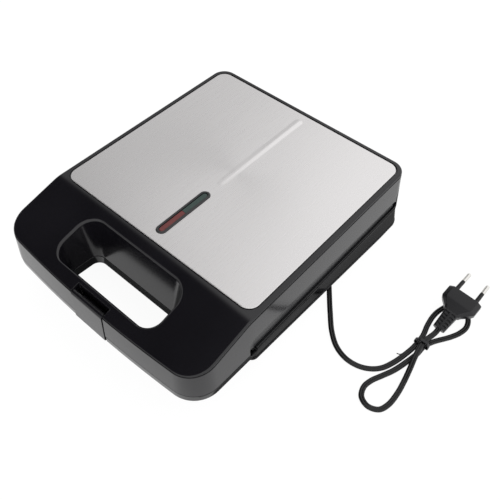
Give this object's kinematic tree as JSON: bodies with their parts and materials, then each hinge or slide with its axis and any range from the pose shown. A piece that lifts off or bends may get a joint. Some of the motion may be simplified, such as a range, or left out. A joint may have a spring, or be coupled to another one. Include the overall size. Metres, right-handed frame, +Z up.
{
  "type": "waffle maker",
  "caption": "Countertop waffle maker with heart-shaped plates, hinged lid, brushed steel cover, split carrying handle with a snap latch, and a bundled mains cord with plug.",
  "frame": {"origin": "on the table, under the middle of the appliance without its free cord and plug", "axes": "+X to the right seen from the handle, +Y from the handle to the hinges, +Z up"},
  "size_m": [0.3213, 0.2775, 0.0808],
  "materials": {
    "moulded_black": "semi gloss",
    "moulded_grey": "satin",
    "brushed_steel": "brushed along the depth",
    "coated_plate": "non-stick coating",
    "sheet_aluminium": "mill",
    "bright_steel": "polished",
    "red_lens": "clear tinted",
    "green_lens": "clear tinted",
    "black_rubber": "matte",
    "cord_pvc": "satin",
    "ceramic": "unglazed",
    "lamp_glass": "clear",
    "nickel": "plated"
  },
  "bodies": {
    "base": {"base_casing": "moulded_black", "base_liner": "moulded_grey", "bottom_cover": "moulded_black", "lower_plate": "coated_plate", "lower_heater": "bright_steel", "lower_reflector": "sheet_aluminium", "terminal_block": "ceramic", "hinge_pin_left": "bright_steel", "hinge_pin_right": "bright_steel", "foot_front_left": "black_rubber", "foot_front_right": "black_rubber", "foot_rear_left": "black_rubber", "foot_rear_right": "black_rubber", "cord_gland": "black_rubber", "cord": "cord_pvc", "cord_tie": "black_rubber", "plug_body": "cord_pvc", "plug_sleeve_left": "cord_pvc", "plug_sleeve_right": "cord_pvc", "plug_pin_left": "nickel", "plug_pin_right": "nickel"},
    "lid": {"lid_casing": "moulded_black", "lid_liner": "moulded_grey", "steel_cover": "brushed_steel", "indicator_bezel": "moulded_grey", "red_lens": "red_lens", "green_lens": "green_lens", "lamp_holder": "moulded_grey", "red_lamp": "lamp_glass", "green_lamp": "lamp_glass", "upper_plate": "coated_plate", "upper_heater": "bright_steel", "upper_reflector": "sheet_aluminium", "thermostat": "ceramic", "thermal_fuse": "ceramic", "latch_pin": "bright_steel"},
    "latch": {"latch": "moulded_black"}
  },
  "joints": [
    {"name": "lid_hinge", "type": "hinge", "parent": "base", "child": "lid", "pos_m": [0, 0.1338, 0.041], "axis": [-1, 0, 0], "range_deg": [0, 100]},
    {"name": "latch_pivot", "type": "hinge", "parent": "lid", "child": "latch", "pos_m": [0, -0.1307, 0.056], "axis": [-1, 0, 0], "range_deg": [0, 25], "stiffness_Nm_per_rad": 0.05}
  ]
}
